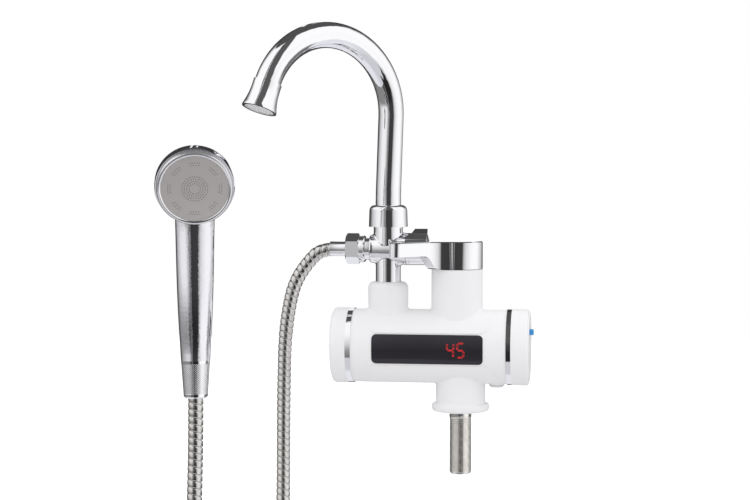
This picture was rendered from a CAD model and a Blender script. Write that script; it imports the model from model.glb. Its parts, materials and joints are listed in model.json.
import json
import math
import bmesh
import bpy
from mathutils import Matrix, Vector


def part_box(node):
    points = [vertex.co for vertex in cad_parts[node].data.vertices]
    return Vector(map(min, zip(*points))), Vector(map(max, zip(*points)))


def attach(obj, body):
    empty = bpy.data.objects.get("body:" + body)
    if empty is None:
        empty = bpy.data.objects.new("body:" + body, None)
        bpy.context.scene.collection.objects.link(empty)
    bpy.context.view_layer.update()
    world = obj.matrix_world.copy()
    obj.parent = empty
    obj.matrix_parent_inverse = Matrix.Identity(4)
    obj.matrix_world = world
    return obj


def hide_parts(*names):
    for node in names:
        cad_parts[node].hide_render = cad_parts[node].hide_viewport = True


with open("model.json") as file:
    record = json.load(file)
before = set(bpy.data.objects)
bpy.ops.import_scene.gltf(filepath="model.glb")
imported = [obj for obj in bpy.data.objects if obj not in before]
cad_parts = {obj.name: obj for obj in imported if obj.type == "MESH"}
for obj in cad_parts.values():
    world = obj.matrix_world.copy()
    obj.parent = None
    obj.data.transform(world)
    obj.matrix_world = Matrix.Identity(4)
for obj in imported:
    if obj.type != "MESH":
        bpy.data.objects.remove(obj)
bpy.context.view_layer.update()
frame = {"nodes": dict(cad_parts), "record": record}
nodes = frame["nodes"]
bodyOf = {}
for bodyName, members in frame["record"]["behaviour"]["bodies"].items():
    for member in members:
        bodyOf[member] = bodyName
mm = 0.001  # sizes below are in millimetres, and Blender works in metres
print("frame loaded,", len(nodes), "nodes")


def linearColour(hexCode):
    channels = [int(hexCode[i:i + 2], 16) / 255 for i in (1, 3, 5)]
    linear = [value / 12.92 if value <= 0.04045 else ((value + 0.055) / 1.055) ** 2.4 for value in channels]
    return (*linear, 1.0)


def addNode(tree, kind, settings=None, links=None):
    node = tree.nodes.new(kind)
    for key, value in (settings or {}).items():
        if isinstance(key, str) and hasattr(node, key):
            setattr(node, key, value)
        else:
            node.inputs[key].default_value = value
    for key, socket in (links or {}).items():
        tree.links.new(socket, node.inputs[key])
    return node


def addObject(name, mesh):
    piece = bpy.data.objects.new(name, mesh)
    bpy.context.scene.collection.objects.link(piece)
    return piece


def meshFrom(name, points, faces, mergeDistance=1e-6, turnOut=True, sharpAngle=35):
    # Merges doubles, turns faces outwards and marks the sharp edges
    mesh = bpy.data.meshes.new(name)
    mesh.from_pydata(points, [], faces)
    work = bmesh.new()
    work.from_mesh(mesh)
    bmesh.ops.remove_doubles(work, verts=work.verts, dist=mergeDistance)
    bmesh.ops.dissolve_degenerate(work, edges=work.edges, dist=mergeDistance * 0.5)
    if turnOut:
        bmesh.ops.recalc_face_normals(work, faces=work.faces)
    for face in work.faces:
        face.smooth = True
    work.to_mesh(mesh)
    work.free()
    mesh.set_sharp_from_angle(angle=math.radians(sharpAngle))
    return mesh


def weighNormals(piece):
    # Keeps flat faces flat next to small roundings
    modifier = piece.modifiers.new("weighted normals", "WEIGHTED_NORMAL")
    modifier.keep_sharp = True
    modifier.weight = 60
    return piece


def dress(piece, material, node, *replaced, slotName):
    # Material, body, slot and the CAD nodes that the piece stands for
    if not piece.data.materials:
        piece.data.materials.append(material)
    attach(piece, bodyOf[node])
    if replaced:
        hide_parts(*replaced)
    return piece


def smoothCopy(node, name, material, slotName, sharpAngle=32):
    # The CAD node's own form, merged and shaded smooth
    source = nodes[node].data
    points = [vertex.co[:] for vertex in source.vertices]
    faces = [tuple(polygon.vertices) for polygon in source.polygons]
    mesh = meshFrom(name, points, faces, 2e-6, False, sharpAngle)
    piece = weighNormals(addObject(name, mesh))
    return dress(piece, material, node, node, slotName=slotName)


def turned(name, outline, place, steps=96, relief=None, sharpAngle=35):
    # A closed outline of (radius, height) in mm turned about the local Z of place
    points, faces = [], []
    rows = len(outline)
    for k in range(steps):
        turn = 2 * math.pi * k / steps
        for radius, height in outline:
            reach = (radius + (relief(turn, height, radius) if relief else 0)) * mm
            points.append(place @ Vector((reach * math.cos(turn), reach * math.sin(turn), height * mm)))
    for k in range(steps):
        following = (k + 1) % steps
        for j in range(rows):
            up = (j + 1) % rows
            faces.append((k * rows + j, following * rows + j, following * rows + up, k * rows + up))
    return addObject(name, meshFrom(name, points, faces, 1e-6, True, sharpAngle))


def ladder(low, high, count):
    return [low + (high - low) * i / count for i in range(count + 1)]


def fromNodes(name, host, tree, inputs):
    # Runs a Geometry Nodes tree on a host object and keeps its result as a plain mesh
    modifier = host.modifiers.new(name, "NODES")
    modifier.node_group = tree
    for item in tree.interface.items_tree:
        if item.item_type == "SOCKET" and item.in_out == "INPUT" and item.name in inputs:
            modifier[item.identifier] = inputs[item.name]
    bpy.context.view_layer.update()
    evaluated = host.evaluated_get(bpy.context.evaluated_depsgraph_get())
    mesh = bpy.data.meshes.new_from_object(evaluated)
    mesh.name = name
    host.modifiers.remove(modifier)
    bpy.data.objects.remove(host)
    return addObject(name, mesh)


def newTree(name, sockets):
    tree = bpy.data.node_groups.new(name, "GeometryNodeTree")
    tree.interface.new_socket("Geometry", in_out="INPUT", socket_type="NodeSocketGeometry")
    for label, kind in sockets:
        tree.interface.new_socket(label, in_out="INPUT", socket_type=kind)
    tree.interface.new_socket("Geometry", in_out="OUTPUT", socket_type="NodeSocketGeometry")
    return tree, addNode(tree, "NodeGroupInput"), addNode(tree, "NodeGroupOutput")


def endTree(tree, result, geometry, finish):
    # The last steps of each Geometry Nodes tree: instances made real, then painted
    real = addNode(tree, "GeometryNodeRealizeInstances", links={"Geometry": geometry})
    painted = addNode(tree, "GeometryNodeSetMaterial", links={"Geometry": real.outputs[0], "Material": finish})
    tree.links.new(painted.outputs[0], result.inputs[0])
    return tree


# Camera: where the photographer stood, a little right of the middle and almost level
view = {"place": (0.13168, -1.58876, 0.2323), "pitch": 90 - 2.858, "yaw": 7.663, "lens": 80.733, "sensor": 36}
camera = bpy.data.objects.new("camera", bpy.data.cameras.new("camera"))
bpy.context.scene.collection.objects.link(camera)
camera.location = view["place"]
camera.rotation_euler = (math.radians(view["pitch"]), 0, math.radians(view["yaw"]))
camera.data.lens = view["lens"]
camera.data.sensor_width = view["sensor"]
bpy.context.scene.camera = camera
print("camera placed")


def newMaterial(name):
    material = bpy.data.materials.new(name)
    material.use_nodes = True
    tree = material.node_tree
    tree.nodes.clear()
    shader = addNode(tree, "ShaderNodeBsdfPrincipled")
    addNode(tree, "ShaderNodeOutputMaterial", links={"Surface": shader.outputs["BSDF"]})
    where = addNode(tree, "ShaderNodeTexCoord").outputs["Object"]
    return material, tree, shader, where


def finishOf(name, tints, roughness, patch, grain, depth, metallic=0.0, **sockets):
    # A surface whose tint and roughness drift over patches and whose skin has a fine grain; patch, grain and
    # depth are in mm
    material, tree, shader, where = newMaterial(name)
    drift = addNode(tree, "ShaderNodeTexNoise", {"Scale": 1 / mm / patch, "Detail": 3.0}, {"Vector": where})
    colour = addNode(tree, "ShaderNodeMix",
                     {"data_type": "RGBA", 6: linearColour(tints[0]), 7: linearColour(tints[1])},
                     {"Factor": drift.outputs["Fac"]})
    gloss = addNode(tree, "ShaderNodeMapRange",
                    {"From Min": 0.3, "From Max": 0.7, "To Min": roughness[0], "To Max": roughness[1]},
                    {"Value": drift.outputs["Fac"]})
    skin = addNode(tree, "ShaderNodeTexNoise", {"Scale": 1 / mm / grain, "Detail": 2.0}, {"Vector": where})
    bump = addNode(tree, "ShaderNodeBump", {"Strength": 1.0, "Distance": depth * mm},
                   {"Height": skin.outputs["Fac"]})
    tree.links.new(colour.outputs[2], shader.inputs["Base Color"])
    tree.links.new(gloss.outputs["Result"], shader.inputs["Roughness"])
    tree.links.new(bump.outputs["Normal"], shader.inputs["Normal"])
    shader.inputs["Metallic"].default_value = metallic
    for socket, value in sockets.items():
        shader.inputs[socket.replace("_", " ")].default_value = value
    return material


# Glossy injection-moulded ABS: bright white, soft highlights, a faint moulded grain
whiteAbs = finishOf("whiteAbs", tints=("#F6F5F7", "#F4F3F5"), roughness=(0.4, 0.48), patch=45, grain=0.6,
                    depth=0.004, IOR=1.54, Specular_IOR_Level=0.3)
# Chrome plate on polished brass: mirror bright, with faint wipe marks
chromePlate = finishOf("chromePlate", tints=("#F8F8FA", "#F4F4F7"), roughness=(0.025, 0.055), patch=30,
                       grain=6, depth=0.0006, metallic=1.0)
# Chrome plate on ABS, on the hand shower: a little softer than plated brass
chromeOnAbs = finishOf("chromeOnAbs", tints=("#F1F1F5", "#EAEAF0"), roughness=(0.03, 0.07), patch=24, grain=9,
                       depth=0.002, metallic=1.0)
# Nickel-plated brass thread: warm grey with a satin shine
nickelThread = finishOf("nickelThread", tints=("#F7F5F1", "#E9E6E1"), roughness=(0.16, 0.26), patch=6,
                        grain=0.5, depth=0.004, metallic=1.0)
# Rolled stainless steel strip of the hose: a soft shine, a little uneven
stainlessStrip = finishOf("stainlessStrip", tints=("#E2E0DE", "#CFCCC9"), roughness=(0.14, 0.24), patch=8,
                          grain=0.4, depth=0.003, metallic=1.0)
# Satin stainless steel of screws and inner metal
satinSteel = finishOf("satinSteel", tints=("#DDDBD6", "#D4D2CC"), roughness=(0.08, 0.12), patch=9, grain=1.5,
                      depth=0.0006, metallic=1.0)
# Matt stainless disc of the spray face: warm grey, etched
etchedSteel = finishOf("etchedSteel", tints=("#DCD8D5", "#D0CCC9"), roughness=(0.38, 0.5), patch=12,
                       grain=0.35, depth=0.004, metallic=0.75)
# Moulded spray ring: satin chrome, light grey
satinChrome = finishOf("satinChrome", tints=("#EFEFF1", "#E6E6E9"), roughness=(0.2, 0.28), patch=14,
                       grain=0.5, depth=0.002, metallic=0.85)
# Blue glossy ABS of the reset button
blueAbs = finishOf("blueAbs", tints=("#3F9BE0", "#3790D6"), roughness=(0.2, 0.3), patch=4, grain=0.4,
                   depth=0.004, IOR=1.54)
# Grey nylon of the cable gland: matt and slightly grainy
greyNylon = finishOf("greyNylon", tints=("#DCDCDE", "#D2D2D5"), roughness=(0.42, 0.55), patch=5, grain=0.35,
                     depth=0.01, IOR=1.53)
# Natural nylon of the aerator: off-white and waxy
paleNylon = finishOf("paleNylon", tints=("#FAFAFB", "#F2F2F4"), roughness=(0.35, 0.5), patch=3, grain=0.4,
                     depth=0.008, IOR=1.53)
# EPDM rubber of seals and rings: black and dull
epdmRubber = finishOf("epdmRubber", tints=("#1E1E1F", "#29292A"), roughness=(0.62, 0.78), patch=5, grain=0.4,
                      depth=0.012, IOR=1.52)
# Cast and turned brass inside the tap: yellow and satin
turnedBrass = finishOf("turnedBrass", tints=("#C9A765", "#B5904C"), roughness=(0.24, 0.38), patch=6,
                       grain=0.3, depth=0.006, metallic=1.0)
# Sintered alumina of the cartridge: ivory and matt
aluminaCeramic = finishOf("aluminaCeramic", tints=("#EDE9DF", "#E2DDD1"), roughness=(0.38, 0.5), patch=5,
                          grain=0.25, depth=0.004, IOR=1.7)
# Glass-epoxy circuit board: green lacquer
epoxyBoard = finishOf("epoxyBoard", tints=("#1F5A37", "#2A6B44"), roughness=(0.3, 0.42), patch=7, grain=0.5,
                      depth=0.01, IOR=1.55)
# Black glass-filled nylon of inner housings
blackNylon = finishOf("blackNylon", tints=("#232325", "#2E2E31"), roughness=(0.45, 0.6), patch=6, grain=0.4,
                      depth=0.012, IOR=1.53)


acrylic = {"low": 47.5, "high": 75.0, "tints": ("#37343A", "#2E2C31", "#403E42"), "darkest": 0.45,
           "cloud": "#E4E2E8", "cloudScale": 40.0, "roughness": (0.04, 0.09), "index": 1.49, "specular": 0.3}


def windowAcrylic():
    # Smoked acrylic: near black, mirror smooth, a touch lighter towards its upper and lower edges
    material, tree, shader, where = newMaterial("smokedAcrylic")
    split = addNode(tree, "ShaderNodeSeparateXYZ", links={0: where})
    height = addNode(tree, "ShaderNodeMapRange",
                     {"From Min": acrylic["low"] * mm, "From Max": acrylic["high"] * mm},
                     {"Value": split.outputs["Z"]})
    ramp = addNode(tree, "ShaderNodeValToRGB", links={"Fac": height.outputs["Result"]})
    bottom, middle, top = (linearColour(tint) for tint in acrylic["tints"])
    ramp.color_ramp.elements[0].color = bottom
    ramp.color_ramp.elements[1].color = top
    ramp.color_ramp.elements.new(acrylic["darkest"]).color = middle
    cloud = addNode(tree, "ShaderNodeTexNoise", {"Scale": acrylic["cloudScale"], "Detail": 2.0},
                    {"Vector": where})
    colour = addNode(tree, "ShaderNodeMix",
                     {"data_type": "RGBA", "blend_type": "MULTIPLY", 7: linearColour(acrylic["cloud"])},
                     {"Factor": cloud.outputs["Fac"], 6: ramp.outputs["Color"]})
    gloss = addNode(tree, "ShaderNodeMapRange",
                    {"To Min": acrylic["roughness"][0], "To Max": acrylic["roughness"][1]},
                    {"Value": cloud.outputs["Fac"]})
    tree.links.new(colour.outputs[2], shader.inputs["Base Color"])
    tree.links.new(gloss.outputs["Result"], shader.inputs["Roughness"])
    shader.inputs["IOR"].default_value = acrylic["index"]
    shader.inputs["Specular IOR Level"].default_value = acrylic["specular"]
    return material


diodes = {"tints": ("#8E1520", "#B22A26"), "grainScale": 420.0, "glow": 0.65, "roughness": 0.25}


def litSegments():
    # Red diodes behind smoked acrylic: a deep red glow, a little uneven
    material, tree, shader, where = newMaterial("redDiodes")
    dots = addNode(tree, "ShaderNodeTexNoise", {"Scale": diodes["grainScale"], "Detail": 1.0},
                   {"Vector": where})
    dim, bright = (linearColour(tint) for tint in diodes["tints"])
    colour = addNode(tree, "ShaderNodeMix", {"data_type": "RGBA", 6: dim, 7: bright},
                     {"Factor": dots.outputs["Fac"]})
    tree.links.new(colour.outputs[2], shader.inputs["Emission Color"])
    tree.links.new(colour.outputs[2], shader.inputs["Base Color"])
    shader.inputs["Emission Strength"].default_value = diodes["glow"]
    shader.inputs["Roughness"].default_value = diodes["roughness"]
    return material


smokedAcrylic = windowAcrylic()
redDiodes = litSegments()
print("materials made")


# Hose of interlocked stainless steel strip: the route runs from the nut on the tee, down in one long loop
# and up to the cone nut under the hand shower
hose = {
    "radius": 6.5, "rootRadius": 5.65, "crown": 0.16, "ribs": 164, "samplesPerRib": 10, "sides": 30,
    "groove": (0.035, 0.11), "crowding": 0.72, "handed": -1.0, "plainEnd": 0.1, "weld": 0.01,
    "order": 3, "resolution": 24,
    "route": [
        (-112, 0, 153.5), (-133.5, 0, 153.5), (-146.4, 0, 140.6), (-157.6, -0.5, 124.6),
        (-163.5, -1.2, 106.9), (-168.8, -3, 71.3), (-169.4, -7, 25.6), (-168.6, -14, -20),
        (-166.5, -27, -84), (-166.2, -38, -137), (-167.3, -45.5, -180), (-169.4, -50.5, -224),
        (-172.5, -57, -263), (-177, -73, -297), (-182.5, -101, -320.5), (-188.5, -136, -328.5),
        (-194.5, -171.5, -319), (-200, -199.5, -295), (-204, -214.5, -261), (-206.6, -219, -218),
        (-208.6, -216.5, -170), (-209.5, -211, -120), (-209.6, -205.8, -70), (-209.1, -202.3, -22),
        (-208.6, -201.2, 16), (-208.6, -201.2, 49.6),
    ],
}
routeCurve = bpy.data.curves.new("hoseRoute", "CURVE")
routeCurve.dimensions = "3D"
routeSpline = routeCurve.splines.new("NURBS")
routeSpline.points.add(len(hose["route"]) - 1)
for point, place in zip(routeSpline.points, hose["route"]):
    point.co = (*[value * mm for value in place], 1)
routeSpline.order_u = hose["order"]
routeSpline.use_endpoint_u = True
routeSpline.resolution_u = hose["resolution"]
routeObject = addObject("hoseRoute", routeCurve)
bpy.context.view_layer.update()
routeMesh = bpy.data.meshes.new_from_object(routeObject)
hosePath = [point.co.copy() for point in routeMesh.vertices]
bpy.data.objects.remove(routeObject)


def hoseTree():
    # A sheet wrapped round the route: every row starts a groove further on, so the grooves run in a helix
    tree, given, result = newTree("ribbedHose", [
        ("Ribs", "NodeSocketInt"), ("Samples", "NodeSocketInt"), ("Sides", "NodeSocketInt"),
        ("Crest", "NodeSocketFloat"), ("Root", "NodeSocketFloat"), ("Crown", "NodeSocketFloat"),
        ("Groove Start", "NodeSocketFloat"), ("Groove End", "NodeSocketFloat"),
        ("Crowding", "NodeSocketFloat"), ("Handed", "NodeSocketFloat"), ("Finish", "NodeSocketMaterial")])
    out = given.outputs
    line = addNode(tree, "GeometryNodeMeshToCurve", links={"Mesh": out["Geometry"]})
    total = addNode(tree, "GeometryNodeCurveLength", links={"Curve": line.outputs["Curve"]})
    pitch = addNode(tree, "ShaderNodeMath", {"operation": "DIVIDE"}, {0: total.outputs[0], 1: out["Ribs"]})

    # The sheet: rows along the hose, columns round it, one row more at each end for the caps
    rows = addNode(tree, "ShaderNodeMath", {"operation": "MULTIPLY_ADD", 2: 3.0},
                   {0: out["Ribs"], 1: out["Samples"]})
    rows = addNode(tree, "ShaderNodeMath", {"operation": "ADD"}, {0: rows.outputs[0], 1: out["Samples"]})
    columns = addNode(tree, "ShaderNodeMath", {"operation": "ADD", 1: 1.0}, {0: out["Sides"]})
    lastRow = addNode(tree, "ShaderNodeMath", {"operation": "SUBTRACT", 1: 1.0}, {0: rows.outputs[0]})
    sheet = addNode(tree, "GeometryNodeMeshGrid", links={
        "Size X": lastRow.outputs[0], "Size Y": out["Sides"],
        "Vertices X": rows.outputs[0], "Vertices Y": columns.outputs[0]})
    spot = addNode(tree, "GeometryNodeInputPosition")
    spotParts = addNode(tree, "ShaderNodeSeparateXYZ", links={0: spot.outputs[0]})
    row = addNode(tree, "ShaderNodeMath", {"operation": "MULTIPLY_ADD", 1: 0.5},
                  {0: lastRow.outputs[0], 2: spotParts.outputs["X"]})
    row = addNode(tree, "ShaderNodeMath", {"operation": "ROUND"}, {0: row.outputs[0]})
    around = addNode(tree, "ShaderNodeMath", {"operation": "DIVIDE"},
                     {0: spotParts.outputs["Y"], 1: out["Sides"]})
    around = addNode(tree, "ShaderNodeMath", {"operation": "ADD", 1: 0.5}, {0: around.outputs[0]})

    # Place within a rib, with the samples crowded into the groove
    shifted = addNode(tree, "ShaderNodeMath", {"operation": "SUBTRACT", 1: 1.0}, {0: row.outputs[0]})
    shifted = addNode(tree, "ShaderNodeMath", {"operation": "DIVIDE"},
                      {0: shifted.outputs[0], 1: out["Samples"]})
    shifted = addNode(tree, "ShaderNodeMath", {"operation": "SUBTRACT", 1: 1.0}, {0: shifted.outputs[0]})
    rib = addNode(tree, "ShaderNodeMath", {"operation": "FLOOR"}, {0: shifted.outputs[0]})
    inRib = addNode(tree, "ShaderNodeMath", {"operation": "FRACT"}, {0: shifted.outputs[0]})
    swing = addNode(tree, "ShaderNodeMath", {"operation": "MULTIPLY", 1: 2 * math.pi}, {0: inRib.outputs[0]})
    swing = addNode(tree, "ShaderNodeMath", {"operation": "SINE"}, {0: swing.outputs[0]})
    swing = addNode(tree, "ShaderNodeMath", {"operation": "DIVIDE", 1: -2 * math.pi}, {0: swing.outputs[0]})
    crowded = addNode(tree, "ShaderNodeMath", {"operation": "MULTIPLY_ADD"}, {
        0: swing.outputs[0], 1: out["Crowding"], 2: inRib.outputs[0]})
    along = addNode(tree, "ShaderNodeMath", {"operation": "ADD"}, {0: rib.outputs[0], 1: crowded.outputs[0]})
    along = addNode(tree, "ShaderNodeMath", {"operation": "ADD"},
                    {0: along.outputs[0], 1: around.outputs[0]})
    along = addNode(tree, "ShaderNodeMath", {"operation": "MULTIPLY"},
                    {0: along.outputs[0], 1: pitch.outputs[0]})
    along = addNode(tree, "ShaderNodeClamp", links={"Value": along.outputs[0], "Max": total.outputs[0]})

    # Radius: a crowned band, a narrow groove, plain at both ends and closed by the first and last row
    fromGroove = addNode(tree, "ShaderNodeMath", {"operation": "PINGPONG", 1: 0.5}, {0: crowded.outputs[0]})
    wall = addNode(tree, "ShaderNodeMapRange", {"interpolation_type": "SMOOTHSTEP"}, {
        "Value": fromGroove.outputs[0], "From Min": out["Groove Start"], "From Max": out["Groove End"],
        "To Min": out["Root"], "To Max": out["Crest"]})
    slope = addNode(tree, "ShaderNodeMath", {"operation": "MULTIPLY_ADD", 1: -2.0, 2: 1.0},
                    {0: fromGroove.outputs[0]})
    slope = addNode(tree, "ShaderNodeMath", {"operation": "POWER", 1: 2.0}, {0: slope.outputs[0]})
    slope = addNode(tree, "ShaderNodeMath", {"operation": "MULTIPLY"},
                    {0: slope.outputs[0], 1: out["Crown"]})
    banded = addNode(tree, "ShaderNodeMath", {"operation": "SUBTRACT"},
                     {0: wall.outputs["Result"], 1: slope.outputs[0]})
    left = addNode(tree, "ShaderNodeMath", {"operation": "SUBTRACT"},
                   {0: total.outputs[0], 1: along.outputs[0]})
    near = addNode(tree, "ShaderNodeMath", {"operation": "MINIMUM"},
                   {0: left.outputs[0], 1: along.outputs[0]})
    fade = addNode(tree, "ShaderNodeMapRange",
                   {"interpolation_type": "SMOOTHSTEP", "From Min": hose["plainEnd"] * mm},
                   {"Value": near.outputs[0], "From Max": pitch.outputs[0]})
    radius = addNode(tree, "ShaderNodeMix", {"data_type": "FLOAT"},
                     {0: fade.outputs["Result"], 2: out["Crest"], 3: banded.outputs[0]})
    started = addNode(tree, "ShaderNodeMath", {"operation": "GREATER_THAN", 1: 0.5}, {0: row.outputs[0]})
    before = addNode(tree, "ShaderNodeMath", {"operation": "SUBTRACT", 1: 0.5}, {0: lastRow.outputs[0]})
    ended = addNode(tree, "ShaderNodeMath", {"operation": "LESS_THAN"},
                    {0: row.outputs[0], 1: before.outputs[0]})
    between = addNode(tree, "ShaderNodeMath", {"operation": "MULTIPLY"},
                      {0: started.outputs[0], 1: ended.outputs[0]})
    radius = addNode(tree, "ShaderNodeMath", {"operation": "MULTIPLY"},
                     {0: radius.outputs[0], 1: between.outputs[0]})

    # Place on the route
    rail = addNode(tree, "GeometryNodeSampleCurve", {"mode": "LENGTH"}, {
        "Curves": line.outputs["Curve"], "Length": along.outputs[0]})
    side = addNode(tree, "ShaderNodeVectorMath", {"operation": "CROSS_PRODUCT"},
                   {0: rail.outputs["Tangent"], 1: rail.outputs["Normal"]})
    turn = addNode(tree, "ShaderNodeMath", {"operation": "MULTIPLY", 1: 2 * math.pi}, {0: around.outputs[0]})
    turn = addNode(tree, "ShaderNodeMath", {"operation": "MULTIPLY"}, {0: turn.outputs[0], 1: out["Handed"]})
    cosine = addNode(tree, "ShaderNodeMath", {"operation": "COSINE"}, {0: turn.outputs[0]})
    sine = addNode(tree, "ShaderNodeMath", {"operation": "SINE"}, {0: turn.outputs[0]})
    first = addNode(tree, "ShaderNodeVectorMath", {"operation": "SCALE"},
                    {0: rail.outputs["Normal"], "Scale": cosine.outputs[0]})
    second = addNode(tree, "ShaderNodeVectorMath", {"operation": "SCALE"},
                     {0: side.outputs[0], "Scale": sine.outputs[0]})
    spoke = addNode(tree, "ShaderNodeVectorMath", {"operation": "ADD"},
                    {0: first.outputs[0], 1: second.outputs[0]})
    spoke = addNode(tree, "ShaderNodeVectorMath", {"operation": "SCALE"},
                    {0: spoke.outputs[0], "Scale": radius.outputs[0]})
    place = addNode(tree, "ShaderNodeVectorMath", {"operation": "ADD"},
                    {0: spoke.outputs[0], 1: rail.outputs["Position"]})
    wrapped = addNode(tree, "GeometryNodeSetPosition",
                      links={"Geometry": sheet.outputs["Mesh"], "Position": place.outputs[0]})
    welded = addNode(tree, "GeometryNodeMergeByDistance", {"Distance": hose["weld"] * mm},
                     {"Geometry": wrapped.outputs[0]})
    smooth = addNode(tree, "GeometryNodeSetShadeSmooth", links={"Geometry": welded.outputs[0]})
    return endTree(tree, result, smooth.outputs[0], out["Finish"])


pathMesh = bpy.data.meshes.new("hosePath")
pathMesh.from_pydata([tuple(place) for place in hosePath], [(i, i + 1) for i in range(len(hosePath) - 1)], [])
showerHose = fromNodes("showerHose", addObject("hosePath", pathMesh), hoseTree(), {
    "Ribs": hose["ribs"], "Samples": hose["samplesPerRib"], "Sides": hose["sides"],
    "Crest": hose["radius"] * mm, "Root": hose["rootRadius"] * mm, "Crown": hose["crown"] * mm,
    "Groove Start": hose["groove"][0], "Groove End": hose["groove"][1], "Crowding": hose["crowding"],
    "Handed": hose["handed"], "Finish": stainlessStrip})
dress(showerHose, stainlessStrip, "shower_hose", "shower_hose", slotName="steel")


# Smooth copies of the turned, moulded and cast pieces
copies = [
    ("main_housing", "mouldedHousing", whiteAbs, "white_abs"),
    ("left_end_cap", "leftCap", whiteAbs, "white_abs"),
    ("right_end_cap", "rightCap", whiteAbs, "white_abs"),
    ("outlet_nut", "outletNut", whiteAbs, "white_abs"),
    ("left_trim_ring", "leftTrimRing", chromePlate, "chrome"),
    ("right_trim_ring", "rightTrimRing", chromePlate, "chrome"),
    ("display_window", "displayWindow", smokedAcrylic, "black_gloss"),
    ("reset_button", "resetButton", blueAbs, "blue_button"),
    ("cable_gland", "cableGland", greyNylon, "grey_nylon"),
    ("diverter_body", "diverterTee", chromePlate, "chrome"),
    ("diverter_knob", "diverterKnob", chromePlate, "chrome"),
    ("spout_collar", "spoutCollar", chromePlate, "chrome"),
    ("spout_tube", "gooseneck", chromePlate, "chrome"),
    ("spout_nozzle", "spoutNozzle", chromePlate, "chrome"),
    ("handle_lever", "lever", chromePlate, "chrome"),
    ("handle_plug", "leverPlug", chromePlate, "chrome"),
    ("handset_body", "handShower", chromeOnAbs, "chrome"),
    ("hose_nut", "hoseNut", chromePlate, "chrome"),
    ("hose_end_ferrule", "hoseEndFerrule", satinSteel, "steel"),
    ("base_seal", "baseSeal", epdmRubber, "rubber"),
    ("aerator", "aeratorCore", paleNylon, "black_plastic"),
]
for node, name, material, slotName in copies:
    smoothCopy(node, name, material, slotName)
print("smooth copies made,", len(copies))


# Threaded shank: a real helix, with a plain top under the flange
shank = {"crest": 10.4775, "depth": 1.0, "pitch": 1.814, "low": -60.0, "high": -5.5, "bore": 7.5,
         "chamfer": 1.4, "collar": 15.0, "floor": 3.2, "collarHeight": 5.0, "steps": 72, "stepsPerPitch": 8,
         "crestWidth": 1.35, "flankSlope": 1.75, "edge": 0.1}


def threadRelief(turn, height, radius):
    if radius < shank["crest"] - shank["edge"] or not shank["low"] + shank["edge"] < height < shank["high"]:
        return 0
    phase = (height / shank["pitch"] - turn / (2 * math.pi)) % 1
    ridge = min(1.0, max(0.0, shank["crestWidth"] - abs(2 * phase - 1) * shank["flankSlope"]))
    fade = min(1.0, (shank["high"] - height) / shank["pitch"])
    return -shank["depth"] * (1 - ridge) * fade


threadCount = int((shank["high"] - shank["low"]) / shank["pitch"] * shank["stepsPerPitch"])
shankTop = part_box("inlet_shank")[1].z / mm
shankOutline = [(shank["bore"], shank["low"]), (shank["crest"] - shank["chamfer"], shank["low"])]
shankOutline += [(shank["crest"], height)
                 for height in ladder(shank["low"] + shank["chamfer"], shank["high"], threadCount)]
collarTop = shank["floor"] + shank["collarHeight"]
shankOutline += [
    (shank["crest"], shank["floor"]), (shank["collar"], shank["floor"]),
    (shank["collar"], collarTop), (shank["crest"], collarTop),
    (shank["crest"], shankTop), (shank["bore"], shankTop)]
threadedShank = turned("threadedShank", shankOutline, Matrix.Identity(4), shank["steps"], threadRelief, 50)
dress(threadedShank, nickelThread, "inlet_shank", "inlet_shank", slotName="steel")
print("shank made")


# Cone nut under the hand shower, with a fine diamond knurl
hoseEndX, hoseEndY = hose["route"][-1][:2]
handsetPlace = Matrix.Translation((hoseEndX * mm, hoseEndY * mm, 0))
coneNut = {"bottom": 36.0, "top": 68.1, "lowRadius": 10.15, "highRadius": 12.35, "chamfer": 1.4,
           "threadBore": 10.6, "endBore": 7.45, "shelf": 54.0,
           "knurlLow": 39.5, "knurlHigh": 65.5, "knurls": 40, "knurlRows": 90,
           "meanRadius": 11.2, "depth": 0.28, "sharpness": 1.3, "edge": 0.1, "steps": 200}


def knurlRelief(turn, height, radius):
    onKnurl = coneNut["knurlLow"] < height < coneNut["knurlHigh"]
    if radius < coneNut["lowRadius"] - 2 * coneNut["edge"] or not onKnurl:
        return 0
    around = coneNut["knurls"] * turn
    along = coneNut["knurls"] * height / coneNut["meanRadius"]
    rise = abs(math.sin((around + along) / 2)) * abs(math.sin((around - along) / 2))
    return -coneNut["depth"] * (1 - min(1, rise * coneNut["sharpness"]))


def coneSpot(height):
    share = (height - coneNut["bottom"]) / (coneNut["top"] - coneNut["bottom"])
    return coneNut["lowRadius"] + (coneNut["highRadius"] - coneNut["lowRadius"]) * share, height


coneOutline = [
    (coneNut["endBore"], coneNut["bottom"]), (coneNut["lowRadius"] - coneNut["chamfer"], coneNut["bottom"]),
    coneSpot(coneNut["bottom"] + coneNut["chamfer"]), coneSpot(coneNut["knurlLow"] - coneNut["edge"])]
coneOutline += [coneSpot(height)
                for height in ladder(coneNut["knurlLow"], coneNut["knurlHigh"], coneNut["knurlRows"])]
coneOutline += [
    coneSpot(coneNut["knurlHigh"] + coneNut["edge"]), (coneNut["highRadius"], coneNut["top"]),
    (coneNut["threadBore"], coneNut["top"]), (coneNut["threadBore"], coneNut["shelf"]),
    (coneNut["endBore"], coneNut["shelf"])]
knurledNut = turned("knurledNut", coneOutline, handsetPlace, coneNut["steps"], knurlRelief, 40)
dress(knurledNut, chromePlate, "cone_nut", "cone_nut", slotName="chrome")
print("cone nut made")


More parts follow.
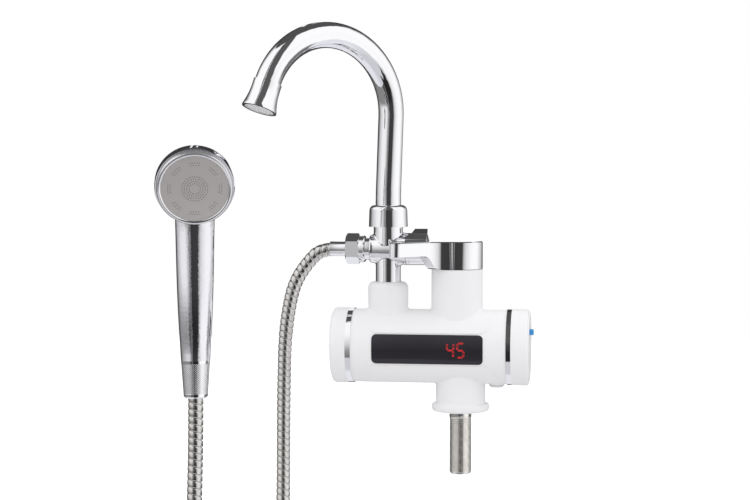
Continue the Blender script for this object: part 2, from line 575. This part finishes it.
# Spray face: an etched plate, dished a little, that looks forward and down from the hand shower's axis
spray = {"yaw": 13.9, "tilt": 17.5, "height": 213.1, "forward": 26.0,
         "recess": 1.2, "thickness": 1.2, "radius": 28.6, "crown": 0.25, "plateSteps": 96,
         "dish": ((0, 1), (8, 0.92), (16, 0.66), (24, 0.3)),  # radius, and share of the crown there
         "lip": 28.2, "bead": 1.5, "beadSteps": 8, "gap": 0.2, "ringSteps": 120,
         "ring": ((31.0, 0.4), (31.8, 1.75), (32.2, 5.0)),  # radius and depth behind the front rim
         "holeRadius": 0.36, "holeDepth": 0.12, "holeSink": 0.03, "holeSides": 10,
         "middleRings": ((4.6, 16), (6.6, 22), (8.6, 28), (10.6, 34)), "staggeredFrom": 8,
         "groups": 8, "groupRings": ((20.4, 4), (22.4, 5)), "groupSpacing": 2.1}
yaw, tilt = math.radians(spray["yaw"]), math.radians(spray["tilt"])
across = Vector((math.cos(yaw), math.sin(yaw), 0))
behind = Vector((-math.sin(yaw) * math.cos(tilt), math.cos(yaw) * math.cos(tilt), math.sin(tilt)))
faceCentre = Vector((hoseEndX + math.sin(yaw) * spray["forward"],
                     hoseEndY - math.cos(yaw) * spray["forward"], spray["height"])) * mm
upward = behind.cross(across)
sprayPlace = Matrix.Translation(faceCentre) @ Matrix((across, -upward, behind)).transposed().to_4x4()
front, back = spray["recess"], spray["recess"] + spray["thickness"]
plateOutline = [(radius, front - spray["crown"] * share) for radius, share in spray["dish"]]
plateOutline += [(spray["radius"], front), (spray["radius"], back), (0, back)]
sprayPlate = turned("sprayPlate", plateOutline, sprayPlace, spray["plateSteps"])
dress(sprayPlate, etchedSteel, "spray_plate", "spray_plate", slotName="steel")

# Bezel: a satin ring with a polished bead round the plate
beadOuter, beadFoot = spray["lip"] + spray["bead"], spray["bead"]
beadArc = [(beadOuter - spray["bead"] * math.sin(angle), beadFoot - spray["bead"] * math.cos(angle))
           for angle in ladder(0, math.pi / 2, spray["beadSteps"])]
sprayBead = turned("sprayBead", [(beadOuter, beadFoot)] + beadArc, sprayPlace, spray["ringSteps"])
dress(sprayBead, chromePlate, "handset_bezel", slotName="chrome")
ringBore, ringFoot = spray["radius"] + spray["gap"], spray["ring"][-1][1]
ringOutline = [(beadOuter, 0), *spray["ring"], (ringBore, ringFoot), (ringBore, beadFoot),
               (beadOuter, beadFoot)]
sprayRing = turned("sprayRing", ringOutline, sprayPlace, spray["ringSteps"])
dress(sprayRing, satinChrome, "handset_bezel", "handset_bezel", slotName="chrome")

holes = []
for radius, count in spray["middleRings"]:
    start = 0.5 if radius > spray["staggeredFrom"] else 0
    holes += [(radius, 2 * math.pi * (k + start) / count) for k in range(count)]
for group in range(spray["groups"]):
    middle = 2 * math.pi * group / spray["groups"]
    for radius, count in spray["groupRings"]:
        step = spray["groupSpacing"] / radius
        holes += [(radius, middle + (k - (count - 1) / 2) * step) for k in range(count)]


def holeTree():
    # One small dark disc, the mouth of a hole, at every point, facing along the plate's axis
    tree, given, result = newTree("sprayHoles", [
        ("Radius", "NodeSocketFloat"), ("Depth", "NodeSocketFloat"), ("Turn", "NodeSocketRotation"),
        ("Finish", "NodeSocketMaterial")])
    cone = addNode(tree, "GeometryNodeMeshCone", {"Vertices": spray["holeSides"]}, {
        "Radius Bottom": given.outputs["Radius"], "Radius Top": given.outputs["Radius"],
        "Depth": given.outputs["Depth"]})
    spots = addNode(tree, "GeometryNodeMeshToPoints", links={"Mesh": given.outputs["Geometry"]})
    spread = addNode(tree, "GeometryNodeInstanceOnPoints", links={
        "Points": spots.outputs[0], "Instance": cone.outputs["Mesh"], "Rotation": given.outputs["Turn"]})
    return endTree(tree, result, spread.outputs[0], given.outputs["Finish"])


def holeSpot(radius, angle):
    height = front - spray["crown"] * (1 - (radius / spray["radius"]) ** 2) - spray["holeSink"]
    return tuple(sprayPlace @ (Vector((radius * math.cos(angle), radius * math.sin(angle), height)) * mm))


holeMesh = bpy.data.meshes.new("holeSpots")
holeMesh.from_pydata([holeSpot(radius, angle) for radius, angle in holes], [], [])
sprayHoles = fromNodes("sprayHoles", addObject("holeSpots", holeMesh), holeTree(), {
    "Radius": spray["holeRadius"] * mm, "Depth": spray["holeDepth"] * mm, "Turn": sprayPlace.to_euler(),
    "Finish": epdmRubber})
dress(sprayHoles, epdmRubber, "spray_plate", slotName="rubber")
print("spray face made,", len(holes), "holes")


# Ferrule crimped on the hose's end at the tee; places along the barrel's direction are world X
ferrule = {"bore": 6.6, "radius": 7.1, "chamfer": 0.3, "free": -125.0, "flange": 10.2, "flangeStart": -106.4,
           "end": -104.9, "passage": 4.5, "steps": 96}
hoseStartX, hoseStartY, hoseStartZ = hose["route"][0]
ferruleOutline = [
    (ferrule["bore"], ferrule["free"]), (ferrule["radius"] - ferrule["chamfer"], ferrule["free"]),
    (ferrule["radius"], ferrule["free"] + ferrule["chamfer"]), (ferrule["radius"], ferrule["flangeStart"]),
    (ferrule["flange"], ferrule["flangeStart"]), (ferrule["flange"], ferrule["end"]),
    (ferrule["passage"], ferrule["end"]), (ferrule["passage"], hoseStartX), (ferrule["bore"], hoseStartX)]
ferruleAxis = Matrix.Translation((0, hoseStartY * mm, hoseStartZ * mm))
ferrulePlace = ferruleAxis @ Matrix.Rotation(math.pi / 2, 4, "Y")
hoseFerrule = turned("hoseFerrule", ferruleOutline, ferrulePlace, ferrule["steps"])
dress(hoseFerrule, chromePlate, "hose_ferrule", "hose_ferrule", slotName="steel")

# Aerator's wire screen, across the flat mouth of the CAD node
screen = {"reach": 13.4, "cells": 18, "wire": 0.22, "wireSides": 5, "lift": 1.25, "faceDown": 0.9}
mouthFaces = [face for face in nodes["aerator"].data.polygons if face.normal.z < -screen["faceDown"]]
mouthWay = sum((face.normal * face.area for face in mouthFaces), Vector()).normalized()
mouthArea = sum(face.area for face in mouthFaces)
mouthCentre = sum((face.center * face.area for face in mouthFaces), Vector()) / mouthArea


def screenTree():
    # A square lattice cut to a disc, each strand a small round wire
    tree, given, result = newTree("wireScreen", [
        ("Cells", "NodeSocketInt"), ("Reach", "NodeSocketFloat"), ("Wire", "NodeSocketFloat"),
        ("Place", "NodeSocketVector"), ("Turn", "NodeSocketRotation"), ("Finish", "NodeSocketMaterial")])
    out = given.outputs
    span = addNode(tree, "ShaderNodeMath", {"operation": "MULTIPLY", 1: 2.0}, {0: out["Reach"]})
    lattice = addNode(tree, "GeometryNodeMeshGrid", links={
        "Size X": span.outputs[0], "Size Y": span.outputs[0],
        "Vertices X": out["Cells"], "Vertices Y": out["Cells"]})
    spot = addNode(tree, "GeometryNodeInputPosition")
    far = addNode(tree, "ShaderNodeVectorMath", {"operation": "LENGTH"}, {0: spot.outputs[0]})
    outside = addNode(tree, "ShaderNodeMath", {"operation": "GREATER_THAN"},
                      {0: far.outputs["Value"], 1: out["Reach"]})
    disc = addNode(tree, "GeometryNodeDeleteGeometry",
                   links={"Geometry": lattice.outputs["Mesh"], "Selection": outside.outputs[0]})
    strands = addNode(tree, "GeometryNodeMeshToCurve", links={"Mesh": disc.outputs[0]})
    section = addNode(tree, "GeometryNodeCurvePrimitiveCircle", {"Resolution": screen["wireSides"]},
                      {"Radius": out["Wire"]})
    wires = addNode(tree, "GeometryNodeCurveToMesh", {"Fill Caps": True}, {
        "Curve": strands.outputs[0], "Profile Curve": section.outputs[0]})
    placed = addNode(tree, "GeometryNodeTransform", links={
        "Geometry": wires.outputs[0], "Translation": out["Place"], "Rotation": out["Turn"]})
    return endTree(tree, result, placed.outputs[0], out["Finish"])


screenHost = bpy.data.meshes.new("screenHost")
screenHost.from_pydata([(0, 0, 0)], [], [])
wireScreen = fromNodes("wireScreen", addObject("screenHost", screenHost), screenTree(), {
    "Cells": screen["cells"], "Reach": screen["reach"] * mm, "Wire": screen["wire"] * mm,
    "Place": mouthCentre + mouthWay * screen["lift"] * mm,
    "Turn": mouthWay.to_track_quat("Z", "Y").to_euler(), "Finish": paleNylon})
dress(wireScreen, paleNylon, "aerator", slotName="black_plastic")
print("ferrule and screen made")


# Digits: lit bars, just proud of the window's curve
digits = {"left": (-9.9, -0.35), "width": 6.0, "middle": 60.9, "half": 6.6, "stroke": 1.75, "gap": 0.35,
          "barrelRadius": 35.5, "axis": 61.2, "proud": 0.07, "sunk": -0.2, "slant": 0.03,
          "shown": (("f", "b", "g", "c"), ("a", "f", "g", "c", "d"))}


def segmentEnds(name, x):
    right, top, bottom, middle = x + digits["width"], digits["half"], -digits["half"], 0
    return {"a": ((x, top), (right, top)), "d": ((x, bottom), (right, bottom)),
            "g": ((x, middle), (right, middle)), "f": ((x, middle), (x, top)),
            "b": ((right, middle), (right, top)), "c": ((right, bottom), (right, middle)),
            "e": ((x, bottom), (x, middle))}[name]


segmentPoints, segmentFaces = [], []
for left, shown in zip(digits["left"], digits["shown"]):
    for segment in shown:
        start, end = (Vector(place) for place in segmentEnds(segment, left))
        way = (end - start).normalized()
        side = Vector((-way.y, way.x)) * digits["stroke"] / 2
        start, end = start + way * digits["gap"], end - way * digits["gap"]
        nose = way * digits["stroke"] / 2
        outline = [start, start + nose + side, end - nose + side, end, end - nose - side, start + nose - side]
        base = len(segmentPoints)
        for lift in (digits["proud"], digits["sunk"]):
            reach = digits["barrelRadius"] + lift
            for corner in outline:
                height = digits["middle"] + corner.y
                depth = math.sqrt(reach ** 2 - (height - digits["axis"]) ** 2)
                segmentPoints.append(Vector((corner.x + digits["slant"] * corner.y, -depth, height)) * mm)
        count = len(outline)
        segmentFaces.append([base + i for i in range(count)])
        segmentFaces.append([base + count + i for i in reversed(range(count))])
        segmentFaces += [(base + i, base + count + i, base + count + (i + 1) % count, base + (i + 1) % count)
                         for i in range(count)]
ledDigits = addObject("ledDigits", meshFrom("ledDigits", segmentPoints, segmentFaces, mergeDistance=1e-7))
dress(ledDigits, redDiodes, "display_window", slotName="red_led")
print("digits made")


# Pieces inside the tap, which keep the CAD nodes' own form
slotFinish = {"white_abs": whiteAbs, "black_gloss": smokedAcrylic, "blue_button": blueAbs,
              "grey_nylon": greyNylon, "chrome": chromePlate, "steel": satinSteel, "brass": turnedBrass,
              "ceramic": aluminaCeramic, "rubber": epdmRubber, "board": epoxyBoard, "red_led": redDiodes,
              "black_plastic": blackNylon}
for name, node in nodes.items():
    for slotIndex, held in enumerate(node.material_slots):
        given = held.material.name.split(".")[0] if held.material else ""
        node.material_slots[slotIndex].material = slotFinish.get(given, satinSteel)
print("inner nodes painted")


# Floor under the hose's loop, sizes in metres
ground = {"halfWidth": 4.0, "height": -0.345, "tints": ("#D9D9D9", "#DCDCDC"), "patchScale": 3.0, "glow": 0.5}


def paleFloor():
    # Matt pale floor: it keeps its shadows, and to the camera its lit part is plain white
    material, tree, shader, where = newMaterial("paleFloor")
    tree.nodes.remove(shader)
    grain = addNode(tree, "ShaderNodeTexNoise", {"Scale": ground["patchScale"]}, {"Vector": where})
    dim, bright = (linearColour(tint) for tint in ground["tints"])
    tone = addNode(tree, "ShaderNodeMix", {"data_type": "RGBA", 6: dim, 7: bright},
                   {"Factor": grain.outputs["Fac"]})
    matt = addNode(tree, "ShaderNodeBsdfDiffuse", links={"Color": tone.outputs[2]})
    rays = addNode(tree, "ShaderNodeLightPath")
    glow = addNode(tree, "ShaderNodeEmission", {"Color": (ground["glow"], ground["glow"], ground["glow"], 1)},
                   {"Strength": rays.outputs["Is Camera Ray"]})
    both = addNode(tree, "ShaderNodeAddShader", links={0: matt.outputs[0], 1: glow.outputs[0]})
    output = [node for node in tree.nodes if node.type == "OUTPUT_MATERIAL"][0]
    tree.links.new(both.outputs[0], output.inputs["Surface"])
    return material


corners = [(x * ground["halfWidth"], y * ground["halfWidth"], ground["height"])
           for x, y in ((-1, -1), (1, -1), (1, 1), (-1, 1))]
floor = addObject("floor", meshFrom("floor", corners, [(0, 1, 2, 3)], turnOut=False))
floor.data.materials.append(paleFloor())
floor.visible_glossy = False


def studioWorld():
    # White room, with the dark gaps and the ceiling flag that give chrome its bands. The camera sees white.
    # The lists hold places and tones. "high", "level" and "low" are the walls above, at and below eye level,
    # and "depth" is how far down the table's rim lies: all four go by the direction, in degrees from the
    # photographer, to the right as the photographer sees it. "slot" and "soft" go by the ray's height and
    # "across" by its world X, both as parts of a unit direction
    room = {
        "photographer": (0.1163, -0.9932),
        "high": [(-180, 0.04), (-140, 0.05), (-122, 0.6), (-105, 1.05), (-34, 1.05), (-30, 0.1), (31, 0.1),
                 (35, 1.05), (115, 1.05), (128, 0.6), (145, 0.05), (180, 0.04)],
        "level": [(-180, 0.03), (-142, 0.03), (-126, 0.18), (-114, 0.42), (-104, 0.6), (-94, 0.7),
                  (-85, 0.78), (-70, 0.93), (-46, 0.93), (-40, 0.86), (-35, 0.7), (-29, 0.55), (-25, 0.38),
                  (-22, 0.07), (-13, 0.06), (-11, 0.045), (22, 0.05), (25, 0.32), (33, 0.64), (39, 0.77),
                  (46, 0.86), (53, 0.93), (60, 1.0), (75, 1.05), (100, 1.05), (110, 0.88), (121, 0.74),
                  (135, 0.52), (156, 0.04), (180, 0.03)],
        "low": [(-180, 0.05), (-150, 0.05), (-125, 0.15), (-105, 0.24), (-38, 0.26), (-35, 0.07),
                (-13, 0.05), (-11, 0.02), (27, 0.02), (30, 0.35), (38, 0.8), (47, 1.05), (90, 1.05),
                (97, 0.5), (101, 0.18), (138, 0.17), (150, 0.05), (180, 0.05)],
        "slot": [(-1, 0.64), (-0.565, 0.64), (-0.55, 0.19), (-0.4, 0.25), (-0.25, 0.3), (-0.1, 0.44),
                 (0.015, 0.58), (0.17, 0.73), (0.38, 0.87), (0.52, 1.0), (0.69, 1.05), (1, 1.05)],
        "across": [(-1, 0), (-0.257, 0), (-0.254, 1), (-0.222, 1), (-0.219, 0), (-0.163, 0), (-0.16, 1),
                   (-0.138, 1), (-0.135, 0), (1, 0)],
        "depth": [(-180, 0.56), (-14, 0.56), (-10, 0.66), (-3, 0.66), (1, 0.53), (180, 0.53)],
        "highFrom": (0.05, 0.42), "lowFrom": (-0.045, -0.21),
        "table": (0.64, 0.84), "tableTurns": (30, 70), "tableTint": (0.985, 0.985, 1.04), "tableRim": 0.008,
        "ceiling": 0.08, "ceilingTilt": 18, "ceilingRim": (0.845, 0.865),
        "strip": 1.05, "stripEdge": (-0.955, -0.975), "stripTop": (0.12, 0.2), "stripFoot": -0.02,
        "soft": [(-1, 0.54), (-0.2, 0.74), (0.3, 1.12), (1, 1.16)],
    }
    world = bpy.data.worlds.new("studio")
    bpy.context.scene.world = world
    world.use_nodes = True
    tree = world.node_tree
    tree.nodes.clear()
    where = addNode(tree, "ShaderNodeTexCoord").outputs["Generated"]
    split = addNode(tree, "ShaderNodeSeparateXYZ", links={0: where})
    towardsX, towardsY = room["photographer"]
    facing = addNode(tree, "ShaderNodeVectorMath", {"operation": "DOT_PRODUCT", 1: (towardsX, towardsY, 0)},
                     {0: where}).outputs["Value"]
    beside = addNode(tree, "ShaderNodeVectorMath", {"operation": "DOT_PRODUCT", 1: (-towardsY, towardsX, 0)},
                     {0: where}).outputs["Value"]
    turn = addNode(tree, "ShaderNodeMath", {"operation": "ARCTAN2"}, {0: beside, 1: facing}).outputs[0]
    height = split.outputs["Z"]
    share = addNode(tree, "ShaderNodeMath", {"operation": "MULTIPLY_ADD", 1: 0.5 / math.pi, 2: 0.5},
                    {0: turn})
    upShare = addNode(tree, "ShaderNodeMath", {"operation": "MULTIPLY_ADD", 1: 0.5, 2: 0.5}, {0: height})
    acrossShare = addNode(tree, "ShaderNodeMath", {"operation": "MULTIPLY_ADD", 1: 0.5, 2: 0.5},
                          {0: split.outputs["X"]})

    tones = {}
    for name, source, reach in (
            ("high", share, 180), ("level", share, 180), ("low", share, 180), ("depth", share, 180),
            ("slot", upShare, 1), ("soft", upShare, 1), ("across", acrossShare, 1)):
        ramp = addNode(tree, "ShaderNodeValToRGB", links={"Fac": source.outputs[0]})
        stops = [(at / reach / 2 + 0.5, tone) for at, tone in room[name]]
        while len(ramp.color_ramp.elements) < len(stops):
            ramp.color_ramp.elements.new(1.0)
        for element, (at, tone) in zip(ramp.color_ramp.elements, stops):
            element.position = at
            element.color = (tone, tone, tone, 1)
        tones[name] = ramp.outputs["Color"]

    raised = addNode(tree, "ShaderNodeMapRange", {
        "interpolation_type": "SMOOTHSTEP", "From Min": room["highFrom"][0], "From Max": room["highFrom"][1]},
        {"Value": height})
    sunk = addNode(tree, "ShaderNodeMapRange", {
        "interpolation_type": "SMOOTHSTEP", "From Min": room["lowFrom"][0], "From Max": room["lowFrom"][1]},
        {"Value": height})
    wall = addNode(tree, "ShaderNodeMix", {"data_type": "RGBA"}, {
        "Factor": raised.outputs["Result"], 6: tones["level"], 7: tones["high"]})
    wall = addNode(tree, "ShaderNodeMix", {"data_type": "RGBA"}, {
        "Factor": sunk.outputs["Result"], 6: wall.outputs[2], 7: tones["low"]})
    # Two bright slots between dark screens, upright and square to the barrel
    wall = addNode(tree, "ShaderNodeMix", {"data_type": "RGBA"}, {
        "Factor": tones["across"], 6: wall.outputs[2], 7: tones["slot"]})

    # Table, whose far edge lies at another depth in each direction
    above = addNode(tree, "ShaderNodeMath", {"operation": "ADD"}, {0: tones["depth"], 1: height})
    onTable = addNode(tree, "ShaderNodeMapRange",
                      {"From Min": room["tableRim"], "From Max": -room["tableRim"]},
                      {"Value": above.outputs[0]})
    sideways = addNode(tree, "ShaderNodeMath", {"operation": "ABSOLUTE"}, {0: turn})
    nearTurn, farTurn = (math.radians(angle) for angle in room["tableTurns"])
    tableTone = addNode(tree, "ShaderNodeMapRange", {
        "From Min": nearTurn, "From Max": farTurn, "To Min": room["table"][0], "To Max": room["table"][1]},
        {"Value": sideways.outputs[0]})
    tableColour = addNode(tree, "ShaderNodeVectorMath", {"operation": "SCALE", 0: room["tableTint"]},
                          {"Scale": tableTone.outputs["Result"]})
    wall = addNode(tree, "ShaderNodeMix", {"data_type": "RGBA"}, {
        "Factor": onTable.outputs["Result"], 6: wall.outputs[2], 7: tableColour.outputs[0]})

    # White strip low behind the object, which the flat top of the lever shows
    behind = addNode(tree, "ShaderNodeMapRange",
                     {"From Min": room["stripEdge"][0], "From Max": room["stripEdge"][1]},
                     {"Value": facing})
    lowStrip = addNode(tree, "ShaderNodeMapRange", {
        "From Min": room["stripTop"][0], "From Max": room["stripTop"][1], "To Min": 1.0, "To Max": 0.0},
        {"Value": height})
    aboveTable = addNode(tree, "ShaderNodeMath", {"operation": "GREATER_THAN", 1: room["stripFoot"]},
                         {0: height})
    strip = addNode(tree, "ShaderNodeMath", {"operation": "MULTIPLY"},
                    {0: behind.outputs["Result"], 1: lowStrip.outputs["Result"]})
    strip = addNode(tree, "ShaderNodeMath", {"operation": "MULTIPLY"},
                    {0: strip.outputs[0], 1: aboveTable.outputs[0]})
    stripTone = (room["strip"], room["strip"], room["strip"], 1)
    wall = addNode(tree, "ShaderNodeMix", {"data_type": "RGBA", 7: stripTone}, {
        "Factor": strip.outputs[0], 6: wall.outputs[2]})

    # Dark ceiling flag, a little behind the object
    lean = math.radians(room["ceilingTilt"])
    flagWay = (-towardsX * math.sin(lean), -towardsY * math.sin(lean), math.cos(lean))
    over = addNode(tree, "ShaderNodeVectorMath", {"operation": "DOT_PRODUCT", 1: flagWay}, {0: where})
    flag = addNode(tree, "ShaderNodeMapRange",
                   {"From Min": room["ceilingRim"][0], "From Max": room["ceilingRim"][1]},
                   {"Value": over.outputs["Value"]})
    flagTone = (room["ceiling"], room["ceiling"], room["ceiling"], 1)
    wall = addNode(tree, "ShaderNodeMix", {"data_type": "RGBA", 7: flagTone}, {
        "Factor": flag.outputs["Result"], 6: wall.outputs[2]})

    # Reflections see the room, other light comes from a plain sky, and the camera and clear pieces see white
    rays = addNode(tree, "ShaderNodeLightPath")
    level = addNode(tree, "ShaderNodeMix", {"data_type": "RGBA"}, {
        "Factor": rays.outputs["Is Glossy Ray"], 6: tones["soft"], 7: wall.outputs[2]})
    plain = addNode(tree, "ShaderNodeMath", {"operation": "MAXIMUM"}, {
        0: rays.outputs["Is Camera Ray"], 1: rays.outputs["Is Transmission Ray"]})
    shown = addNode(tree, "ShaderNodeMix", {"data_type": "RGBA", 7: (1, 1, 1, 1)}, {
        "Factor": plain.outputs[0], 6: level.outputs[2]})
    background = addNode(tree, "ShaderNodeBackground", {"Strength": 1.0}, {"Color": shown.outputs[2]})
    addNode(tree, "ShaderNodeOutputWorld", links={"Surface": background.outputs[0]})


studioWorld()
bpy.context.scene.view_settings.view_transform = "Standard"
print("stage set")

print("done")
